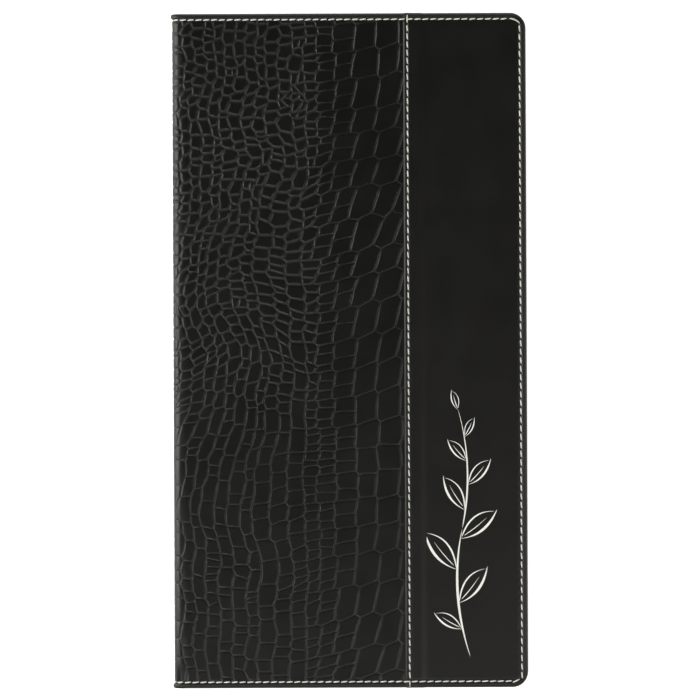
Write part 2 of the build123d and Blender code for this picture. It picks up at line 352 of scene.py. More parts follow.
def weave_group():
    """Plain weave: two crossing sets of threads that go over and under each other."""
    group, given, height = new_group("plain_weave", "Position", Thread_Size=0.5 * MM)
    place = add(group, "SeparateXYZ", Vector=given["Position"]).outputs
    counts = [maths(group, "DIVIDE", place[axis], given["Thread Size"]) for axis in "XY"]
    waves = [maths(group, "SINE", maths(group, "MULTIPLY", count, math.pi)) for count in counts]
    feed(group, height, maths(group, "MULTIPLY", *waves))
    return group


LEATHER_GRAIN = grain_group()
THREAD_TWIST = twist_group()
PLAIN_WEAVE = weave_group()
print("groups", [g.name for g in bpy.data.node_groups])

# %% [markdown]
# The embossed leatherette is nearly black. Its scales are smooth and a little glossy, and the
# grooves between them are rougher and coloured a lighter grey: a painted highlight standing for
# the light that the slopes of the grooves catch.
# A mesh attribute named relief says how high a point lies, so the colour follows the scales.

# %% Make the leather, thread and cloth materials


def shared(tree, group, place, **values):
    """The height that a shared effect puts out at a place, with its own sizes."""
    node = add(tree, "Group")
    node.node_tree = group
    for label, value in values.items():
        node.inputs[label.replace("_", " ")].default_value = value
    return join(tree, node, place)


def object_position(tree):
    return add(tree, "TexCoord").outputs["Object"]


def noise(tree, scale, detail):
    node = add(tree, "TexNoise", Vector=object_position(tree), Scale=scale, Detail=detail)
    return node.outputs["Fac"]


def bump(tree, height, depth, strength):
    return add(tree, "Bump", Height=height, Distance=depth, Strength=strength).outputs["Normal"]


def spread(tree, value, low, high):
    """Maps a value from 0..1 to low..high."""
    return add(tree, "MapRange", Value=value, To_Min=low, To_Max=high).outputs["Result"]


def new_material(name):
    material = bpy.data.materials.new(name)
    return material, emptied(material)


def surface(tree, **sockets):
    shader = add(tree, "BsdfPrincipled", **sockets)
    add(tree, "OutputMaterial", Surface=shader.outputs[0])


CLOUD_SCALE = 60.0
CLOUDINESS = 0.06
LOW_FACE = 0.75


def leather(name, groove_painted_highlight, face, rough_groove, rough_face, pore, grain_depth, shine):
    material, tree = new_material(name)
    attribute = add(tree, "Attribute")
    attribute.attribute_name = "relief"
    relief = attribute.outputs["Fac"]
    gloss = spread(tree, relief, rough_groove, rough_face)
    cloudy = spread(tree, noise(tree, CLOUD_SCALE, 3.0), -CLOUDINESS, CLOUDINESS)
    grain = shared(tree, LEATHER_GRAIN, object_position(tree), Pore_Size=pore)
    # Low relief takes the groove colour, lighter than the face: a painted highlight in the
    # grooves.
    surface(tree, Base_Color=ramp(tree, relief, [(0.0, groove_painted_highlight), (LOW_FACE, face), (1.0, face)]),
            Roughness=maths(tree, "ADD", gloss, cloudy),
            Normal=bump(tree, grain, grain_depth, 0.6), Specular_IOR_Level=shine)
    return material


# The lighter groove colours are painted highlight. The plain leather shows its one only on the
# rims.
CROC_LEATHER = leather("croc_leatherette", (0.0088, 0.0090, 0.0077), (0.0026, 0.0027, 0.0023),
                       0.44, 0.33, 0.5 * MM, 0.03 * MM, 0.31)
PLAIN_LEATHER = leather("plain_leatherette", (0.0118, 0.0118, 0.0103), (0.0030, 0.0030, 0.0026),
                        0.44, 0.38, 0.42 * MM, 0.04 * MM, 0.28)


def yarn_finish(tree, height, low, deep, colour, rough, sheen, depth):
    """Yarn is painted darker in its hollows as shade, at the height low, and has soft fibres on
    top.
    """
    # hollow is the colour darkened by deep: painted shade in the yarn's hollows.
    hollow = tuple(deep * channel for channel in colour)
    shade = spread(tree, height, low, 1.0)
    surface(tree, Base_Color=ramp(tree, shade, [(0.0, hollow), (1.0, colour)]), Roughness=rough,
            Sheen_Weight=sheen, Normal=bump(tree, height, depth, 0.7))


def thread_material(name, colour):
    material, tree = new_material(name)
    twist = shared(tree, THREAD_TWIST, add(tree, "TexCoord").outputs["UV"], Turns=6.0)
    yarn_finish(tree, twist, 0.0, 0.72, colour, 0.6, 0.2, 0.08 * MM)
    return material


def cloth_material(name, colour, thread_size):
    material, tree = new_material(name)
    weave = shared(tree, PLAIN_WEAVE, object_position(tree), Thread_Size=thread_size)
    yarn_finish(tree, weave, 0.2, 0.55, colour, 0.85, 0.15, 0.06 * MM)
    return material


WHITE_THREAD = thread_material("off_white_thread", (0.80, 0.78, 0.72))
BLACK_THREAD = thread_material("black_thread", (0.015, 0.015, 0.016))
LINING_CLOTH = cloth_material("lining_cloth", (0.030, 0.030, 0.032), 0.55 * MM)
RIBBON_CLOTH = cloth_material("ribbon_cloth", (0.02, 0.02, 0.021), 0.3 * MM)
print("materials", [m.name for m in bpy.data.materials])

# %% [markdown]
# The hide is made as a tanner would lay it out: flat. On the flank, small scales stand in columns.
# The belly lies beside the seam and once more on the back, and there broad rows run across.
# A fine grid is ruled first, and every rung that no scale needs is dissolved.

# %% Rule the flank in columns and the belly in rows
COLUMN = 5.7 * MM
RUNG = 1.8 * MM
FLANK_STEPS = (2, 3, 3, 3, 3, 4)
TAIL_STEPS = (3, 4, 5, 6, 7)
ROW_STEPS = (7, 8, 8, 9)
WIDE = 3 * COLUMN
SPARE_RUNGS = 16
BELLY = FOLD_RUN - 51 * MM
BACK_MIDDLE = -127 * MM
BACK_HALF = 47 * MM
BACK_BELLY = (BACK_MIDDLE - BACK_HALF, BACK_MIDDLE + BACK_HALF)
HIDE_END = FOLD_RUN + 9 * MM
SEED = 23

rng = random.Random(SEED)


def column_lines():
    """Places of the column lines on the flat hide, with none inside the two bellies."""
    lines = [HIDE_END, BELLY]
    for end, belly in ((BACK_BELLY[1] + COLUMN, [BACK_BELLY[1], BACK_BELLY[0]]), (-FORE_RUN, [])):
        while lines[-1] > end:
            lines.append(lines[-1] - COLUMN * rng.uniform(0.78, 1.22))
        lines += belly
    return sorted(lines)


def kept_rungs(steps, beside, rows):
    """Rungs of one column. Now and then a rung meets one of its neighbour's, or its row line."""
    kept = []
    reach, follow = (2, 0.9) if len(beside) < rows / 5 else (1, 0.2)
    place = rng.choice(steps) - 1
    while place < rows:
        near = min(beside, key=lambda rung: abs(rung - place)) if beside else place
        if near != place and abs(near - place) <= reach and rng.random() < follow:
            place = max(near, kept[-1] + 2 if kept else near)
        elif near == place and rng.random() > follow:
            place += 1
        kept.append(place)
        long_scales = steps == FLANK_STEPS and place < 0.4 * rows
        place += rng.choice(TAIL_STEPS if long_scales else steps)
    return kept


def flat_hide():
    lines = column_lines()
    columns = len(lines) - 1
    rows = math.ceil(2 * LINE / RUNG) + SPARE_RUNGS
    kept = [[]] * columns
    for column in reversed(range(columns)):
        steps = ROW_STEPS if lines[column + 1] - lines[column] > WIDE else FLANK_STEPS
        beside = kept[column + 1] if column + 1 < columns else []
        kept[column] = kept_rungs(steps, beside, rows)
    mesh = bmesh.new()
    bmesh.ops.create_grid(mesh, x_segments=columns, y_segments=rows, size=0.5)
    idle = []
    for edge in mesh.edges:
        a, b = (v.co for v in edge.verts)
        column = round((min(a.x, b.x) + 0.5) * columns)
        row = round((min(a.y, b.y) + 0.5) * rows)
        if not edge.is_boundary and abs(a.y - b.y) < 0.1 / rows and row not in kept[column]:
            idle.append(edge)
    for vert in mesh.verts:
        vert.co.x = lines[round((vert.co.x + 0.5) * columns)]
        vert.co.y = (round((vert.co.y + 0.5) * rows) - rows / 2) * RUNG
    bmesh.ops.dissolve_edges(mesh, edges=idle, use_verts=True)
    return mesh


hide = flat_hide()
print("scales", len(hide.faces), "corners", len(hide.verts))

# %% [markdown]
# Each belly row is split into broad scales by leaning lines of its own, so that these lines break
# off from row to row. Towards the flank the scales are cut once or twice more. On the flank some
# scales are split askew, most of them in two places where the hide is crumpled.

# %% Split the rows of the belly and some scales of the flank
FRONT_LINES = tuple(FOLD_RUN - away * MM for away in (2.6, 13.8, 25.2, 35.8, 44.4))
BACK_LINES = tuple(BACK_MIDDLE + away * MM for away in (-40, -32, -21.5, -8.5, 5, 18, 30, 40))
BELLY_ROW = 60 * MM * 8 * MM
LARGE_SCALE = 18 * MM * MM
CUT_TWICE = 14 * MM
CUT_ONCE = 25 * MM
EXACT = 1e-7
CRUMPLED = ((run_at(-20 * MM), 128 * MM, 13 * MM), (run_at(-18 * MM), -115 * MM, 12 * MM))


def inside_back_belly(x):
    return BACK_HALF - abs(x - BACK_MIDDLE)


def split(mesh, faces, place, lean):
    """Cuts only these faces along a line that leans to the right of straight up the page."""
    geometry = list({part for face in faces for part in (face, *face.edges, *face.verts)})
    bmesh.ops.bisect_plane(mesh, geom=geometry, dist=EXACT, plane_co=place,
                           plane_no=(math.cos(lean), -math.sin(lean), 0.0))


def extent(face):
    """Lowest and highest (x, y) of a scale."""
    across, along = zip(*((v.co.x, v.co.y) for v in face.verts))
    return (min(across), min(along)), (max(across), max(along))


def numbered(mesh, number_of, number):
    return [f for f in mesh.faces if f[number_of] == number]


def split_rows(mesh):
    number_of = mesh.faces.layers.int.new("row")
    rows = [f for f in mesh.faces if f.calc_area() > BELLY_ROW]
    for number, face in enumerate(rows, 1):
        face[number_of] = number
        centre = face.calc_center_bounds()
        for line in FRONT_LINES if centre.x > 0 else BACK_LINES:
            lean = math.radians(9 + 8 * math.sin(centre.y / (42 * MM)) + rng.uniform(-4, 4))
            place = (line + rng.uniform(-1, 1) * MM, centre.y, 0.0)
            split(mesh, numbered(mesh, number_of, number), place, lean)
    return number_of


def split_towards_flank(mesh, number_of):
    broad = [f for f in mesh.faces if f[number_of]]
    for number, face in enumerate(broad, len(broad) + 1):
        face[number_of] = number
        centre = face.calc_center_bounds()
        inside = centre.x - BELLY if centre.x > 0 else inside_back_belly(centre.x)
        times = 2 if inside < CUT_TWICE else 1 if inside < CUT_ONCE and rng.random() < 0.8 else 0
        (_, low), (_, high) = extent(face)
        for cut_number in range(times):
            share = (cut_number + 1 + rng.uniform(-0.15, 0.15)) / (times + 1)
            split(mesh, numbered(mesh, number_of, number),
                  (centre.x, low + share * (high - low), 0.0),
                  math.radians(90 + rng.uniform(-6, 6)))


def split_flank(mesh, number_of):
    for face in [f for f in mesh.faces if not f[number_of] and f.calc_area() > LARGE_SCALE]:
        centre = face.calc_center_bounds()
        crumpled = max(math.exp(-((centre.x - x) ** 2 + (centre.y - y) ** 2) / reach ** 2)
                       for x, y, reach in CRUMPLED)
        (left, low), (right, high) = extent(face)
        if rng.random() < 0.04 + 0.7 * crumpled:
            lean = math.radians(rng.uniform(-35, 35) + (0 if right - left > high - low else 90))
            split(mesh, [face], centre, lean)


row_numbers = split_rows(hide)
split_towards_flank(hide, row_numbers)
split_flank(hide, row_numbers)
print("scales after splitting", len(hide.faces))

# %% [markdown]
# Ruled lines become grown ones in three steps. The corners are shaken and smoothed, long sides
# are cut in two and smoothed again so that they bow, and the whole field swings round in a few
# places, because the rows of a hide flow round the animal's flank. Towards the tail the columns
# fan out, and on the belly the rows rise towards the seam.

# %% Let the scales grow out of the ruled lines
SHAKE = 1.4 * MM
SIDE = 2.7 * MM
SIDE_SHAKE = 0.14
COLUMN_WAVE = 0.9 * MM
ROW_WAVE = 1.3 * MM
FAN = 15.0 * MM
TAIL_BEGINS = 60 * MM
TAIL_REACH = 130 * MM
BELLY_BLEND = 14 * MM
TOO_CLOSE = 0.5 * MM
ROW_RISE = math.tan(math.radians(9))
SWINGS = (
    # place x, place y, reach, and how far the columns lean there
    (-72.0 * MM, 12.0 * MM, 34.0 * MM, math.radians(30)),
    (-38.0 * MM, 82.0 * MM, 26.0 * MM, math.radians(-16)),
    (-30.0 * MM, -95.0 * MM, 26.0 * MM, math.radians(11)),
    (-66.0 * MM, -60.0 * MM, 24.0 * MM, math.radians(-14)),
    (-66.0 * MM, 135.0 * MM, 24.0 * MM, math.radians(-12)),
    (-230.0 * MM, 60.0 * MM, 34.0 * MM, math.radians(24)),
    (-200.0 * MM, -80.0 * MM, 36.0 * MM, math.radians(-22)),
)


def towards_tail(place):
    return clamped((TAIL_BEGINS - place.y) / TAIL_REACH)


def on_belly(place):
    """1 on the belly beside the seam and on the back's, 0 on the flanks."""
    return clamped(max(place.x - BELLY, inside_back_belly(place.x)) / BELLY_BLEND)


def looseness(vert):
    """Belly scales stay square, and the columns run straighter from the head to the tail."""
    return min(1.0 - 0.65 * on_belly(vert.co), 1.0 - 0.55 * towards_tail(vert.co))


def shake(mesh):
    for vert in mesh.verts:
        vert.co.x += rng.uniform(-SHAKE, SHAKE) * looseness(vert)
        vert.co.y += rng.uniform(-SHAKE, SHAKE) * max(looseness(vert), 0.4)


def smooth(mesh, factor):
    """Rounds the net of grooves where it is loose, and hardly where it is square."""
    for low, high in ((0.0, 0.4), (0.4, 0.6), (0.6, 0.8), (0.8, 1.1)):
        verts = [v for v in mesh.verts if low <= looseness(v) < high]
        share = factor * (0.2 + 0.8 * max(low - 0.2, 0.0))
        bmesh.ops.smooth_vert(mesh, verts=verts, factor=share, use_axis_x=True, use_axis_y=False)
        bmesh.ops.smooth_vert(mesh, verts=verts, factor=max(share, 0.5 * factor),
                              use_axis_x=False, use_axis_y=True)


def bow_sides(mesh):
    for limit in (2 * SIDE, SIDE):
        long_sides = [e for e in mesh.edges if e.calc_length() > limit]
        bmesh.ops.bisect_edges(mesh, edges=long_sides, cuts=1)
        for vert in mesh.verts:
            vert.co.x += rng.uniform(-SIDE_SHAKE, SIDE_SHAKE) * MM
            vert.co.y += rng.uniform(-SIDE_SHAKE, SIDE_SHAKE) * MM


def swing(place):
    """Turns the field round each swing's centre, less and less with the distance from it."""
    for x, y, reach, lean in SWINGS:
        centre = Vector((run_at(x), y, 0.0))
        away = place - centre
        turn = Matrix.Rotation(lean * math.exp(-(away.length / reach) ** 2), 3, "Z")
        place = centre + turn @ away
    return place


def fan_out(vert):
    """Columns of the front flank widen towards the tail, and the back's flank makes room."""
    hump = min((BELLY - vert.co.x) / BELLY, (vert.co.x - BACK_BELLY[1]) / -BACK_BELLY[1])
    vert.co.x -= FAN * towards_tail(vert.co) * max(hump, 0.0)


def grow(mesh):
    shake(mesh)
    smooth(mesh, 0.4)
    bow_sides(mesh)
    smooth(mesh, 0.45)
    for vert in mesh.verts:
        flank = clamped((BELLY + BELLY_BLEND - vert.co.x) / (26 * MM))
        fan_out(vert)
        vert.co = vert.co.lerp(swing(vert.co), flank)
        bend = math.sin(vert.co.y / (5.5 * MM) + vert.co.x / (19 * MM))
        vert.co.x += flank * COLUMN_WAVE * bend
        vert.co.y += ROW_WAVE * math.sin(vert.co.x / (17 * MM) + vert.co.y / (31 * MM))
        inside = max(vert.co.x - BELLY + 4 * MM, 0.0)
        vert.co.y += ROW_RISE * inside * inside / (inside + 8 * MM)
    bmesh.ops.remove_doubles(mesh, verts=mesh.verts, dist=TOO_CLOSE)


grow(hide)
print("corners after growing", len(hide.verts))

# %% [markdown]
# Each scale is raised by insetting its outline ring by ring: a groove floor, a slope, a rounder
# shoulder and a flat rim. Neighbours share the groove, as in an embossed film, so a lamp from the
# side draws one bright line along each of them. The grooves are broad and soft at the head, and
# narrower towards the tail and on the belly, where those that run across are also shallow.
# In a sharp corner the rings run past one another, so sides that cross are pulled back.

# %% Raise the scales and keep their height as an attribute
RINGS = ((0.22 * MM, 0.0), (0.36 * MM, 0.14 * MM), (0.42 * MM, 0.13 * MM), (0.40 * MM, 0.05 * MM))
SCALE_HEIGHT = sum(rise for _, rise in RINGS)
FULL_SIZE = 3.0 * MM
HOLLOW_SIDE = 0.7 * MM
TAIL_LOSS = 0.3
SHALLOW_BELLY = 0.8
SHALLOW_TAIL = 0.75
WEAR = 0.14


def finder_of(places):
    """Finds which of these places lie nearest to a point."""
    finder = kdtree.KDTree(len(places))
    for number, place in enumerate(places):
        finder.insert(place, number)
    finder.balance()
    return finder


def cross_lines(mesh):
    """A finder for how far the nearest groove runs across the page, 0 up it and 1 across."""
    places, across = [], []
    for edge in mesh.edges:
        start, end = (v.co.copy() for v in edge.verts)
        run = end - start
        for share in (0.2, 0.5, 0.8):
            places.append(start.lerp(end, share))
            across.append(run.x ** 2 / max(run.length_squared, 1e-12))
    return finder_of(places), across


def by_size(scales):
    """Groups the scales by the share of the full ring width that they get."""
    groups = {}
    for scale in scales:
        centre = scale.calc_center_median()
        fineness = 1.0 - 0.35 * max(on_belly(centre), towards_tail(centre))
        inner_radius = 2 * scale.calc_area() / scale.calc_perimeter()
        share = round(min(inner_radius / FULL_SIZE, 1.0) * fineness, 1)
        groups.setdefault(max(share, 0.1), []).append(scale)
    return groups


def join_short_sides(mesh, scales, shortest):
    """Joins corners that the next ring would push past one another."""
    short = {e for f in scales for e in f.edges if e.calc_length() < shortest}
    bmesh.ops.collapse(mesh, edges=list(short), uvs=False)
    return [f for f in scales if f.is_valid and len(f.verts) > 2]


def crossings(scale):
    """Wherever two sides of a scale cross: the corners between them, and the place."""
    corners = [loop.vert for loop in scale.loops]
    count = len(corners)
    at = 0
    while at < count:
        step = 1
        for ahead in range(2, count // 2 + 1):
            first, *between, last = [corners[(at + n) % count] for n in range(ahead + 2)]
            ends = (first, between[0], between[-1], last)
            place = intersect_line_line_2d(*(corner.co.xy for corner in ends))
            if place:
                yield between, place
                step = ahead
                break
        at += step


def untangle(mesh, scales):
    """Pulls sides that cross back to where they meet, and joins the corners left hollow."""
    joined = {}
    for scale in scales:
        for corners, place in crossings(scale):
            if joined.keys().isdisjoint(corners) and corners[0] not in joined.values():
                corners[0].co.xy = place
                joined.update((corner, corners[0]) for corner in corners[1:])
    bmesh.ops.weld_verts(mesh, targetmap=joined)
    scales = [f for f in scales if f.is_valid]
    hollow = [loop for f in scales for loop in f.loops if not loop.is_convex]
    sides = {e for loop in hollow for e in (loop.edge, loop.link_loop_prev.edge)}
    short = [e for e in sides if e.calc_length() < HOLLOW_SIDE]
    bmesh.ops.collapse(mesh, edges=short, uvs=False)
    return len(joined)


def raise_scales(mesh):
    """Raises all scales, and shapes the grooves. Returns how many crossed corners were joined."""
    finder, across = cross_lines(mesh)
    crossed = 0
    for share, scales in sorted(by_size(mesh.faces[:]).items()):
        for number, (width, rise) in enumerate(RINGS):
            if number:
                scales = join_short_sides(mesh, scales, 1.8 * width * share)
            bmesh.ops.inset_individual(mesh, faces=scales, thickness=width * share, depth=rise,
                                       use_even_offset=False)
        crossed += untangle(mesh, scales)
    relief = mesh.verts.layers.float.new("relief")
    for vert in mesh.verts:
        near = finder.find_n((vert.co.x, vert.co.y, 0.0), 4)
        level = sum(across[number] for _, number, _ in near) / len(near)
        tail = towards_tail(vert.co)
        shallow = max(0.1, SHALLOW_BELLY * on_belly(vert.co), SHALLOW_TAIL * tail)
        patch = math.sin(vert.co.x / (23 * MM)) * math.cos(vert.co.y / (17 * MM))
        worn = 1 - WEAR + WEAR * patch
        sunk = (1 - vert.co.z / SCALE_HEIGHT) * (1 - shallow * level)
        vert[relief] = 1 - sunk
        vert.co.z = -SCALE_HEIGHT * worn * sunk * (1 - TAIL_LOSS * tail)
    return crossed


print("crossed corners joined", raise_scales(hide))
print("faces after raising", len(hide.faces))

# %% [markdown]
# A needle pulls the leather down at each hole. Every hole's place on the flat hide is worked out
# once, from the same rows that the CAD uses, and serves the dimples, the threads and both sides.

# %% Work out the stitch rows on the flat hide
SPINE_GAP = 1.8 * MM
HOLE_BEYOND = 0.4 * MM
HOLE_DEPTH = 0.3 * MM
HOLE_REACH = 0.6 * MM


def row(start, end, pitch):
    """Places of the most stitches that fit between two ends, with even room at both."""
    count = int((end - start - STITCH_LENGTH) // pitch) + 1
    first = (start + end - (count - 1) * pitch) / 2
    return [first + number * pitch for number in range(count)]


def end_row(cover, shift):
    """Stitches along one end of a cover, and on over its half of the spine."""
    flat = row(LEFT + SPINE_RADIUS, RIGHT - CORNER_RADIUS, ROW_PITCH)
    places = [run_at(x) + shift for x in flat]
    while places[0] - ROW_PITCH > SPINE_GAP:
        places.insert(0, places[0] - ROW_PITCH)
    return [cover * s for s in places]


# Each corner's own stitch: in from the fore edge, in from the end, slant, length and bend.
HEAD_CORNER = (5.4 * MM, 3.8 * MM, math.radians(25), 6.2 * MM, math.radians(44))
TAIL_CORNER = (6.2 * MM, 3.3 * MM, math.radians(25), 3.6 * MM, math.radians(12))
HEAD_SHIFT = -0.75 * MM
TAIL_SHIFT = 0.4 * MM
SIDE_SHIFT = -1.0 * MM
SEAM_START = 1.4 * MM
FORE_LINE = FORE_RUN - EDGE_INSET
RISING = math.pi / 2 + STITCH_SLANT


def edge_stitches(cover):
    """(s, t, heading, length, bend) of each edge stitch of the front, 1, or the back, -1."""
    found = []
    for way, shift in ((1, HEAD_SHIFT), (-1, TAIL_SHIFT)):
        found += [(s, way * LINE, STITCH_SLANT, STITCH_LENGTH, 0.0) for s in end_row(cover, shift)]
    side = HEAD - CORNER_RADIUS
    places = row(-side, side, SIDE_PITCH)
    for t in [places[0] - SIDE_PITCH] + places + [places[-1] + SIDE_PITCH]:
        found.append((cover * FORE_LINE, t + SIDE_SHIFT, RISING, STITCH_LENGTH, 0.0))
    for way, (inwards, down, slant, length, bend) in ((1, HEAD_CORNER), (-1, TAIL_CORNER)):
        turn = -way * cover
        found.append((cover * (FORE_RUN - inwards), way * (HEAD - down), turn * slant, length,
                      turn * bend))
    return found


def seam_row():
    """The seam is begun a little below the head, where its thread comes over the edge."""
    half = LINE - GROOVE_HALF
    seam = FOLD_RUN + SEAM_INSET
    places = [t - SEAM_START * (t + half) / (2 * half) for t in row(-half, half, SEAM_PITCH)]
    return [(seam, t, RISING, STITCH_LENGTH, 0.0) for t in places]


FRONT_EDGE = edge_stitches(1)
BACK_EDGE = edge_stitches(-1)
SEAM = seam_row()


def needle_holes(stitches):
    """Holes lie just beyond both ends of each stitch."""
    holes = []
    for s, t, heading, length, _ in stitches:
        for reach in (-length / 2 - HOLE_BEYOND, length / 2 + HOLE_BEYOND):
            holes.append((s + reach * math.cos(heading), t + reach * math.sin(heading), 0.0))
    return finder_of(holes)


HOLES = needle_holes(FRONT_EDGE + BACK_EDGE + SEAM)
print("stitches", len(FRONT_EDGE), len(BACK_EDGE), len(SEAM))


def hole_depth(s, t):
    """How far the leather is drawn down near a needle hole."""
    _, _, away = HOLES.find((s, t, 0.0))
    return HOLE_DEPTH * math.exp(-(away / HOLE_REACH) ** 2)


# %% [markdown]
# The flat hide is then wrapped round the cover. Going from the middle of the spine, the hide runs
# up the flat of the spine, round its bend, over a soft shoulder and out over the cover. The same
# rule with the height turned over serves the back. The hide is cut where it bends at a crease, and
# the level tops of its scales are shaded flat, so that no sharp corner draws a dark line on them.

# %% Wrap flat leather round spine and covers
LEVEL = 0.9999
UNDER_STRIP = 3 * MM
BEND_CUTS = 12


def wrapped(s, t, height):
    way = 1 if s >= 0 else -1
    run = abs(s)
    if run < SPINE_FLAT:
        x, up, out_x, out_z = LEFT, run, -1.0, 0.0
    elif run < SPINE_BEND:
        angle = (run - SPINE_FLAT) / SPINE_RADIUS
        out_x, out_z = -math.cos(angle), math.sin(angle)
        x = LEFT + SPINE_RADIUS + SPINE_RADIUS * out_x
        up = SPINE_FLAT + SPINE_RADIUS * out_z
    elif run < SPINE_RUN:
        angle = (SPINE_RUN - run) / SHOULDER_RADIUS
        out_x, out_z = -math.sin(angle), math.cos(angle)
        x = SHOULDER_X + SHOULDER_RADIUS * out_x
        up = MIDDLE - BACK - SHOULDER_RADIUS * (1 - out_z)
    else:
        x, up, out_x, out_z = SHOULDER_X + run - SPINE_RUN, MIDDLE - BACK, 0.0, 1.0
    return Vector((x + out_x * height, t, MIDDLE + way * (up + out_z * height)))


def wrap(mesh):
    for vert in mesh.verts:
        vert.co = wrapped(*vert.co)


def finish_piece(mesh, name, material, level_tops=False):
    """Links the piece, smooth, or with level_tops smooth except for the faces that lie level."""
    mesh.normal_update()
    for face in mesh.faces:
        face.smooth = not (level_tops and abs(face.normal.z) > LEVEL)
    data = mesh_data(name, mesh)
    data.materials.append(material)
    print(name, "triangles", sum(len(face.vertices) - 2 for face in data.polygons))
    return put(name, data)


def bend_at_crease(piece, cover):
    """Bakes the piece's placement into its mesh, alike for both covers; the piece does not bend.
    """
    if cover > 0:
        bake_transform(piece)
    else:
        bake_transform(piece)


def cut(mesh, place, normal, drop=False):
    geometry = mesh.verts[:] + mesh.edges[:] + mesh.faces[:]
    bmesh.ops.bisect_plane(mesh, geom=geometry, dist=EXACT, plane_co=place, plane_no=normal,
                           clear_outer=drop)


def cut_hide(mesh, low, high):
    """Trims the hide at its borders, cuts it where it bends, and dips its rim under the thread."""
    for way in (1, -1):
        cut(mesh, (0, way * LINE, 0), (0, way, 0), drop=True)
        cut(mesh, (0, way * (LINE - GROOVE_HALF), 0), (0, way, 0))
    for place, way in ((low, -1), (high, 1)):
        cut(mesh, (place, 0, 0), (way, 0, 0), drop=True)
    cut(mesh, (low + GROOVE_HALF, 0, 0), (1, 0, 0))
    cut(mesh, (0, 0, 0), (1, 0, 0))
    for number in range(BEND_CUTS):
        bend = SPINE_FLAT + (SPINE_RUN - SPINE_FLAT) * number / (BEND_CUTS - 1)
        cut(mesh, (bend, 0, 0), (1, 0, 0))
        cut(mesh, (-bend, 0, 0), (1, 0, 0))
    for vert in mesh.verts:
        vert.co.z -= rim_dip(min(LINE - abs(vert.co.y), vert.co.x - low))


cut_hide(hide, -FORE_LINE, FOLD_RUN + UNDER_STRIP)


def half_hide(mesh, way):
    half = mesh.copy()
    other = [f for f in half.faces if f.calc_center_median().x * way < 0]
    bmesh.ops.delete(half, geom=other, context="FACES")
    wrap(half)
    return half


front_hide = finish_piece(half_hide(hide, 1), "front_embossed_hide", CROC_LEATHER, True)
back_hide = finish_piece(half_hide(hide, -1), "back_embossed_hide", CROC_LEATHER, True)
hide.free()
bend_at_crease(front_hide, 1)
bend_at_crease(back_hide, -1)
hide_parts("front_croc_panel", "spine_skin")
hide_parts("back_skin")

# %% [markdown]
# The turned edge is one band of leather: from the stitch line over the roll and back in under the
# lining. Its section is drawn once and run along the outline. Straight stretches are extruded in
# small steps and the fore-edge corners are spun, so every ring can be drawn down at the holes.
# Over the roll the relief is set as low as in a groove, so the roll takes the lighter groove
# colour: a painted highlight.

# %% Make the turned edges
ROLL = STACK / 2
STEP = 1.0 * MM
CORNER_STEPS = 14
ROLL_STEPS = 9
FLARE = 0.75 * MM
NICK = 0.3 * MM
OUTER_SIDE = -0.9 * MM
TUCK = 2 * MM
THIN_OVER = 2.0 * MM
FLARE_START = 0.4 * MM
# The relief drops over the roll so that its lighter groove colour paints a highlight on the rim.
RIM_RELIEF = 0.85
RIM_DROP = 0.75
DROP_START = 0.5 * MM
DROP_OVER = 0.8 * MM
UNDER_FOLD = 0.6 * MM


def edge_section():
    """(outwards, height) from the stitch line over the rolled edge to the inside."""
    flat = EDGE_INSET - ROLL
    points = [(0.0, -GROOVE_DEPTH), (0.3 * MM, -0.28 * MM), (0.7 * MM, -0.04 * MM),
              (1.1 * MM, 0.05 * MM), (flat, 0.02 * MM)]
    for number in range(1, ROLL_STEPS + 1):
        angle = math.pi * number / ROLL_STEPS
        points.append((flat + ROLL * math.sin(angle), ROLL * math.cos(angle) - ROLL))
    points += [(flat - 0.8 * MM, -STACK), (EDGE_INSET - LINING_MARGIN - TUCK, -STACK)]
    return points


def open_line(points):
    """A new mesh with one open line through these points, and the line's edges."""
    mesh = bmesh.new()
    verts = [mesh.verts.new(point) for point in points]
    return mesh, [mesh.edges.new(pair) for pair in zip(verts, verts[1:])]


def start_band(s):
    return open_line((s, LINE + out, height) for out, height in edge_section())


def run_on(mesh, edges, way, length):
    """Extrudes the open end of the band in equal small steps."""
    steps = max(1, round(length / STEP))
    for _ in range(steps):
        grown = bmesh.ops.extrude_edge_only(mesh, edges=edges)["geom"]
        verts = [g for g in grown if isinstance(g, bmesh.types.BMVert)]
        edges = [g for g in grown if isinstance(g, bmesh.types.BMEdge)]
        bmesh.ops.translate(mesh, verts=verts, vec=Vector(way) * (length / steps))
    return edges


def turn_corner(mesh, edges, centre):
    corners = list({v for e in edges for v in e.verts})
    turned = bmesh.ops.spin(mesh, geom=edges + corners, cent=centre, axis=(0, 0, -1),
                            angle=math.pi / 2, steps=CORNER_STEPS)
    return [g for g in turned["geom_last"] if isinstance(g, bmesh.types.BMEdge)]


def outline_band(start):
    """Band from one place on the head, round the fore edge, to the same place on the tail."""
    inner_s = FORE_RUN - CORNER_RADIUS
    inner_t = HEAD - CORNER_RADIUS
    mesh, edges = start_band(start)
    edges = run_on(mesh, edges, (1, 0, 0), inner_s - start)
    edges = turn_corner(mesh, edges, (inner_s, inner_t, 0))
    edges = run_on(mesh, edges, (0, -1, 0), 2 * inner_t)
    edges = turn_corner(mesh, edges, (inner_s, -inner_t, 0))
    run_on(mesh, edges, (-1, 0, 0), inner_s - start)
    bmesh.ops.remove_doubles(mesh, verts=mesh.verts, dist=1e-6)
    return mesh


def mirror(mesh, ways):
    bmesh.ops.scale(mesh, vec=ways, verts=mesh.verts)
    bmesh.ops.reverse_faces(mesh, faces=mesh.faces)


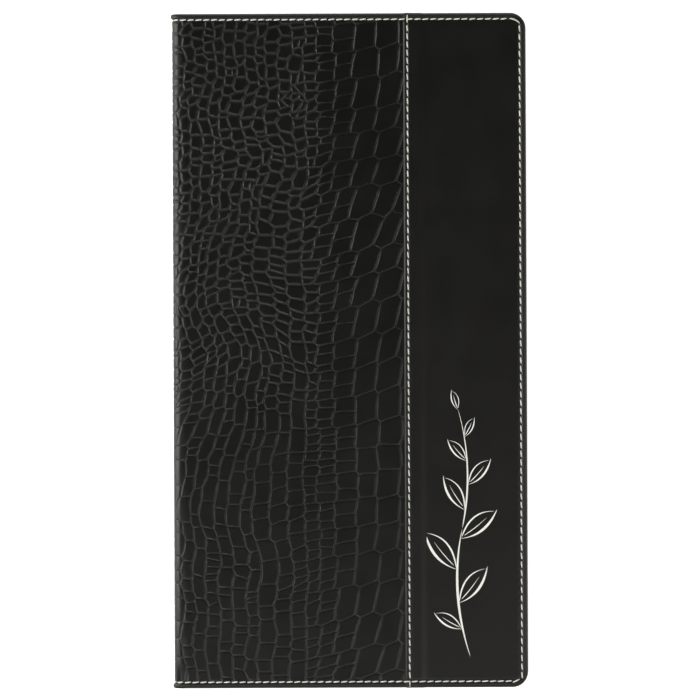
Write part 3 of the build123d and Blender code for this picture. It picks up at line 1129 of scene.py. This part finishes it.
def straight_bands(start, end):
    """Head and tail bands of the embossed panel, which end under the plain strip."""
    mesh, edges = start_band(start)
    run_on(mesh, edges, (1, 0, 0), end - start)
    tail = mesh.copy()
    mirror(tail, (1, -1, 1))
    carrier = mesh_data("tail_band", tail)
    mesh.from_mesh(carrier)
    bpy.data.meshes.remove(carrier)
    return mesh


def thin_at_spine(mesh):
    """No board lies in the spine, so the turned leather there is only two layers thick."""
    thin = HEMMED / STACK
    for vert in mesh.verts:
        if vert.co.z < 0:
            share = clamped((BOARD_RUN - abs(vert.co.x)) / THIN_OVER + 0.5)
            vert.co.z *= 1 - share * (1 - thin)


def draw_down_holes(mesh):
    for vert in mesh.verts:
        if vert.co.z > OUTER_SIDE:
            vert.co.z -= hole_depth(vert.co.x, vert.co.y)


def flare_at_spine(mesh):
    """The turned ends stand proud of the spine, with a nick where the thread pulls."""
    for vert in mesh.verts:
        share = clamped((SPINE_BEND - abs(vert.co.x)) / (SPINE_BEND - SPINE_FLAT))
        beyond = clamped((abs(vert.co.y) - LINE - FLARE_START) / MM)
        if vert.co.z > -HEMMED:
            vert.co.z += (FLARE * beyond - NICK * (1 - beyond)) * share


def paint_rim_highlight(mesh):
    """Sets a band's relief: high along the stitches, low over the roll for a painted highlight."""
    relief = mesh.verts.layers.float.new("relief")
    for vert in mesh.verts:
        beyond = max(abs(vert.co.y) - LINE, abs(vert.co.x) - FORE_LINE)
        vert[relief] = RIM_RELIEF - RIM_DROP * clamped((beyond - DROP_START) / DROP_OVER)


def finish_band(mesh, name, material):
    wrap(mesh)
    bmesh.ops.recalc_face_normals(mesh, faces=mesh.faces)
    return finish_piece(mesh, name, material)


def make_edge(mesh, name, cover):
    thin_at_spine(mesh)
    draw_down_holes(mesh)
    flare_at_spine(mesh)
    paint_rim_highlight(mesh)
    if cover < 0:
        mirror(mesh, (-1, 1, 1))
    return finish_band(mesh, name, CROC_LEATHER)


front_edge = make_edge(straight_bands(0.0, FOLD_RUN + UNDER_FOLD), "front_turned_edge", 1)
back_edge = make_edge(outline_band(0.0), "back_turned_edge", -1)
for piece, cover in ((front_edge, 1), (back_edge, -1)):
    bend_at_crease(piece, cover)

# %% [markdown]
# The plain strip is a second leather. Its long edge is folded under, laid on the embossed panel
# and sewn beside the fold. The seam pulls the folded edge down, so it slopes up from the fold to a
# crest, which is where the side light catches it, and then runs down a ramp to the cover's face.

# %% Make the plain strip
FOLD_LOW = 0.14 * MM
CREST = 1.5 * MM
CREST_RISE = LAP_RISE + 0.2 * MM
SETTLE = 2.2 * MM
SEAM_DIP = 0.3 * MM
SEAM_REACH = 0.42 * MM
FOLD_STEPS = 5
FINE_STEPS = 16
FINE_STEP = 0.28 * MM
BROAD_STEPS = 40


def lap_rise(beyond_fold):
    """Height over the face: up a slope from the fold, over a crest, and down the lap's ramp."""
    if beyond_fold < CREST:
        share = max(beyond_fold, 0.0) / CREST
        return FOLD_LOW + (CREST_RISE - FOLD_LOW) * math.sin(share * math.pi / 2) ** 0.9
    settle = min((beyond_fold - CREST) / SETTLE, 1.0)
    level = CREST_RISE + (LAP_RISE - CREST_RISE) * settle * settle
    share = clamped((beyond_fold - LAP) / LAP_RAMP)
    return level * (1 - share * share * (3 - 2 * share))


def seam_dip(beyond_fold):
    return SEAM_DIP * math.exp(-((beyond_fold - SEAM_INSET) / SEAM_REACH) ** 2)


def strip_section():
    """(x beyond the fold, height over the face) from under the fold to the fore edge row."""
    nose = FOLD_LOW / 2
    points = [(8 * nose, 0.01 * MM)]
    for number in range(FOLD_STEPS + 1):
        angle = -math.pi / 2 - math.pi * 0.85 * number / FOLD_STEPS
        points.append((nose + nose * math.cos(angle), nose + nose * math.sin(angle)))
    for number in range(1, FINE_STEPS + 1):
        x = FINE_STEP * number
        points.append((x, lap_rise(x) - seam_dip(x)))
    edge = RIGHT - EDGE_INSET - FOLD_X
    start = points[-1][0]
    for number in range(1, BROAD_STEPS + 1):
        x = start + (edge - GROOVE_HALF - start) * number / BROAD_STEPS
        points.append((x, lap_rise(x)))
    points += [(edge - 0.4 * MM, -0.25 * MM), (edge, -GROOVE_DEPTH)]
    return points


def strip_face():
    mesh, edges = open_line((FOLD_RUN + x, LINE, height) for x, height in strip_section())
    run_on(mesh, edges, (0, -1, 0), 2 * LINE)
    relief = mesh.verts.layers.float.new("relief")
    for vert in mesh.verts:
        vert[relief] = 1.0
        vert.co.z -= rim_dip(LINE - abs(vert.co.y))
        vert.co.z -= hole_depth(vert.co.x, vert.co.y)
    wrap(mesh)
    bmesh.ops.recalc_face_normals(mesh, faces=mesh.faces)
    if sum(f.normal.z for f in mesh.faces) < 0:
        bmesh.ops.reverse_faces(mesh, faces=mesh.faces)
    return finish_piece(mesh, "plain_strip_face", PLAIN_LEATHER)


def strip_edge():
    mesh = outline_band(FOLD_RUN - 0.02 * MM)
    draw_down_holes(mesh)
    for vert in mesh.verts:
        beyond = vert.co.x - FOLD_RUN
        rise = lap_rise(beyond) * clamped((beyond + 0.3 * MM) / MM)
        over = clamped((vert.co.z + ROLL) / ROLL)
        vert.co.z += rise * over
        if abs(vert.co.y) > LINE + EDGE_INSET - ROLL:
            vert.co.y += math.copysign(rise * 0.5 * (1 - abs(over - 0.5)), vert.co.y)
    paint_rim_highlight(mesh)
    return finish_band(mesh, "plain_strip_edge", PLAIN_LEATHER)


for piece in (strip_face(), strip_edge()):
    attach(piece, "front_cover")
    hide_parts("front_plain_strip")

# %% [markdown]
# A top stitch is a short round thread whose ends dive into the needle holes. One stitch is shaped
# from a small sphere, and then copied to each place. Its UV map carries the twist of the yarn.

# %% Sew the threads
THREAD_WIDTH = 0.74 * MM
THREAD_HEIGHT = 0.62 * MM
THREAD_DIVE = 0.4 * MM
BLUNTNESS = 3.2
END_DROP = 0.4
BESIDE_FOLD = FOLD_RUN + 0.3 * MM
SUNK = 0.08 * MM
SUNK_BESIDE_FOLD = 0.17 * MM
INNER_START = BOARD_RUN + 2 * MM


def one_stitch():
    """Thread of unit length and width with blunt ends that dive into the holes."""
    mesh = bmesh.new()
    mesh.loops.layers.uv.new("UVMap")
    bmesh.ops.create_uvsphere(mesh, u_segments=8, v_segments=7, radius=0.5, calc_uvs=True)
    bmesh.ops.rotate(mesh, verts=mesh.verts, matrix=Matrix.Rotation(math.pi / 2, 3, "Y"))
    for vert in mesh.verts:
        along = vert.co.x * 2
        fullness = (1 - abs(along) ** BLUNTNESS) ** 0.5 / max((1 - along * along) ** 0.5, 0.05)
        if abs(along) < 0.99:
            vert.co.y *= fullness
            vert.co.z *= fullness
        vert.co.z -= END_DROP * abs(along) ** 4
    return mesh_data("one_stitch", mesh)


STITCH = one_stitch()


def copy_stitch(mesh):
    count = len(mesh.verts)
    mesh.from_mesh(STITCH)
    mesh.verts.ensure_lookup_table()
    return mesh.verts[count:]


def sew(name, stitches, height_at, inside=False):
    """All stitches of one row set, each copied into place on the wrapped leather."""
    mesh = bmesh.new()
    up = -1 if inside else 1
    for s, t, heading, length, bend in stitches:
        turn = Matrix.Rotation(heading, 3, "Z")
        for vert in copy_stitch(mesh):
            along, across = vert.co.x * (length + THREAD_DIVE), vert.co.y * THREAD_WIDTH
            if bend:
                radius = length / bend
                across += radius * (1 - math.cos(along / radius))
                along = radius * math.sin(along / radius)
            spot = turn @ Vector((along, across, up * vert.co.z * THREAD_HEIGHT))
            vert.co = (s + spot.x, t + spot.y, height_at(s) + spot.z)
    if inside:
        bmesh.ops.reverse_faces(mesh, faces=mesh.faces)
    wrap(mesh)
    return finish_piece(mesh, name, WHITE_THREAD)


def outer_level(s):
    """The thread sinks a little into the leather, and more beside the fold."""
    lift = lap_rise(s - FOLD_RUN) if s > BESIDE_FOLD else 0.0
    return lift - (SUNK_BESIDE_FOLD if BESIDE_FOLD < s < FOLD_RUN + LAP else SUNK)


def inner_level(s):
    return 0.06 * MM - LINING_STACK


def on_lining(stitches):
    """The bobbin thread shows inside wherever a board and its lining lie under the row."""
    return [stitch for stitch in stitches if abs(stitch[0]) > INNER_START]


def over_edge(seam):
    """The last stitch of the seam goes on over the rolled edge at head and tail."""
    mesh = bmesh.new()
    level = lap_rise(seam - FOLD_RUN) - 0.2 * MM
    flat = EDGE_INSET - ROLL
    for way, inwards in ((1, SEAM_START + 0.6 * MM), (-1, 0.3 * MM)):
        length = inwards + flat + ROLL * math.pi / 2 + 0.2 * MM
        for vert in copy_stitch(mesh):
            along = (vert.co.x + 0.5) * length - inwards
            across, off = vert.co.y * THREAD_WIDTH, vert.co.z * THREAD_HEIGHT + 0.02 * MM
            angle = max(along - flat, 0.0) / ROLL
            out = min(along, flat) + (ROLL + off) * math.sin(angle)
            height = (ROLL + off) * math.cos(angle) - ROLL
            share = (1 + math.cos(angle)) / 2
            vert.co = (seam + across, way * (LINE + out), height + level * share)
    return finish_band(mesh, "seam_ends", WHITE_THREAD)


front_threads = sew("front_edge_stitches", FRONT_EDGE, outer_level)
back_threads = sew("back_edge_stitches", BACK_EDGE, outer_level)
seam_threads = sew("seam_stitches_sewn", SEAM, outer_level)
front_inner = sew("front_inner_stitches", on_lining(FRONT_EDGE), inner_level, inside=True)
back_inner = sew("back_inner_stitches", on_lining(BACK_EDGE), inner_level, inside=True)
edge_threads = over_edge(SEAM[0][0])
bend_at_crease(front_threads, 1)
bend_at_crease(back_threads, -1)
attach(front_inner, "front_cover")
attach(back_inner, "back_cover")
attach(seam_threads, "front_cover")
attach(edge_threads, "front_cover")
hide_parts("front_stitches", "spine_stitches")
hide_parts("back_stitches")
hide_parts("seam_stitches")

# %% [markdown]
# The strip carries a print in silvery white. It is a plain sprig of herb, drawn as with a broad
# pen: every stroke is a narrow ribbon along a curve, and swells from a fine start to its middle.
# The ribbons are flat and lie just above the leather.

# %% Print the sprig
INK_HEIGHT = 0.02 * MM
AHEAD = 0.01
STEM = (
    # root, pull and end of the lower and the upper half, in mm
    ((61.0, -157.0), (50.0, -124.0), (57.0, -91.0)),
    ((57.0, -91.0), (63.5, -60.0), (55.0, -30.0)),
)
LEAVES = (
    # along the stem 0..2, side, length in mm and opening angle from the stem in degrees
    (0.22, 1, 17.0, 48), (0.42, -1, 24.0, 44), (0.68, 1, 26.0, 42), (0.92, -1, 24.0, 42),
    (1.15, 1, 21.0, 40), (1.36, -1, 18.0, 40), (1.56, 1, 15.0, 38), (1.76, -1, 11.5, 36),
    (1.99, 1, 11.0, 2),
)


def bezier(points, share):
    a, b, c = (Vector(p) for p in points)
    return a.lerp(b, share).lerp(b.lerp(c, share), share)


def stroke(mesh, points, width, swell=0.45):
    """A ribbon along a curve of three points in mm, widest at the share named swell."""
    count = len(mesh.verts)
    bmesh.ops.create_grid(mesh, x_segments=26, y_segments=2, size=0.5)
    mesh.verts.ensure_lookup_table()
    power = math.log(0.5) / math.log(swell)
    for vert in mesh.verts[count:]:
        share = vert.co.x + 0.5
        middle = bezier(points, share)
        ahead = (bezier(points, share + AHEAD) - bezier(points, share - AHEAD)).normalized()
        body = 0.12 + 0.88 * math.sin(math.pi * share ** power) if 0 < share < 1 else 0.0
        side = Vector((-ahead.y, ahead.x)) * vert.co.y * width * body
        vert.co = ((middle.x + side.x) * MM, (middle.y + side.y) * MM, FACE + INK_HEIGHT)


def leaf(mesh, along, side, length, opening):
    half = min(int(along), 1)
    share = along - half
    base = bezier(STEM[half], share)
    grow_way = (bezier(STEM[half], share + AHEAD) - base).normalized()
    way = Matrix.Rotation(side * math.radians(opening), 2) @ grow_way
    beside = Vector((-way.y, way.x)) * side
    tip = base + way * length
    near, far = base + way * length * 0.45, base + way * length * 0.55
    stroke(mesh, (base, near + beside * length * 0.30, tip), 1.15 * length / 22, 0.6)
    stroke(mesh, (base + way * 0.8, far - beside * length * 0.34, tip - way * length * 0.07),
           0.75 * length / 22, 0.35)
    stroke(mesh, (base + way * length * 0.1, near + beside * length * 0.03,
                  base + way * length * 0.72), 0.42, 0.3)


def sprig():
    mesh = bmesh.new()
    stroke(mesh, STEM[0], 1.25, 0.5)
    stroke(mesh, STEM[1], 0.85, 0.3)
    for values in LEAVES:
        leaf(mesh, *values)
    return finish_piece(mesh, "strip_print", SILVER_INK, True)


def ink_material():
    material, tree = new_material("silver_ink")
    grain = shared(tree, LEATHER_GRAIN, object_position(tree), Pore_Size=0.42 * MM)
    stops = [(0.0, (0.60, 0.60, 0.58)), (0.5, (0.76, 0.76, 0.73))]
    surface(tree, Base_Color=ramp(tree, grain, stops), Roughness=0.45,
            Normal=bump(tree, grain, 0.03 * MM, 0.4))
    return material


SILVER_INK = ink_material()
print_on_strip = sprig()
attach(print_on_strip, "front_cover")

# %% [markdown]
# The pieces inside keep their CAD shapes and get their finishes: grey board, lining cloth, clear
# film, uncoated card and woven ribbon.

# %% Dress the CAD pieces that stay


def plain_material(name, colour, rough, noise_scale, contrast, depth):
    material, tree = new_material(name)
    fibre = noise(tree, noise_scale, 6.0)
    dark = tuple(channel * (1 - contrast) for channel in colour)
    surface(tree, Base_Color=ramp(tree, fibre, [(0.3, dark), (0.7, colour)]),
            Roughness=spread(tree, fibre, rough - 0.05, rough + 0.05),
            Normal=bump(tree, fibre, depth, 0.5))
    return material


def film_material():
    material, tree = new_material("clear_film")
    surface(tree, Base_Color=(0.93, 0.95, 0.96, 1.0), Alpha=0.16, Roughness=0.08,
            Normal=bump(tree, noise(tree, 22.0, 1.5), 0.8 * MM, 0.25))
    return material


GREY_BOARD = plain_material("grey_board", (0.17, 0.15, 0.125), 0.9, 900.0, 0.35, 0.05 * MM)
CARD = plain_material("menu_card", (0.84, 0.80, 0.71), 0.75, 1500.0, 0.05, 0.02 * MM)
FOLD_PLASTIC = plain_material("fold_plastic", (0.012, 0.012, 0.013), 0.4, 400.0, 0.2, 0.02 * MM)
CLEAR_FILM = film_material()

FINISHES = (
    (GREY_BOARD, "back_board", "front_board", "spine_stiffener"),
    (LINING_CLOTH, "back_lining", "front_lining", "spine_lining"),
    (FOLD_PLASTIC, "insert_fold"),
    (RIBBON_CLOTH, "insert_ribbon"),
    (BLACK_THREAD, "ribbon_stitches"),
    (CLEAR_FILM, "back_sleeve", "front_sleeve"),
    (CARD, "back_sleeve_rear_sheet", "back_sleeve_fore_sheet"),
    (CARD, "front_sleeve_rear_sheet", "front_sleeve_fore_sheet"),
)
for material, *nodes in FINISHES:
    for node in nodes:
        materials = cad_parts[node].data.materials
        materials.clear()
        materials.append(material)
print("dressed", sum(len(nodes) for _, *nodes in FINISHES), "CAD pieces")
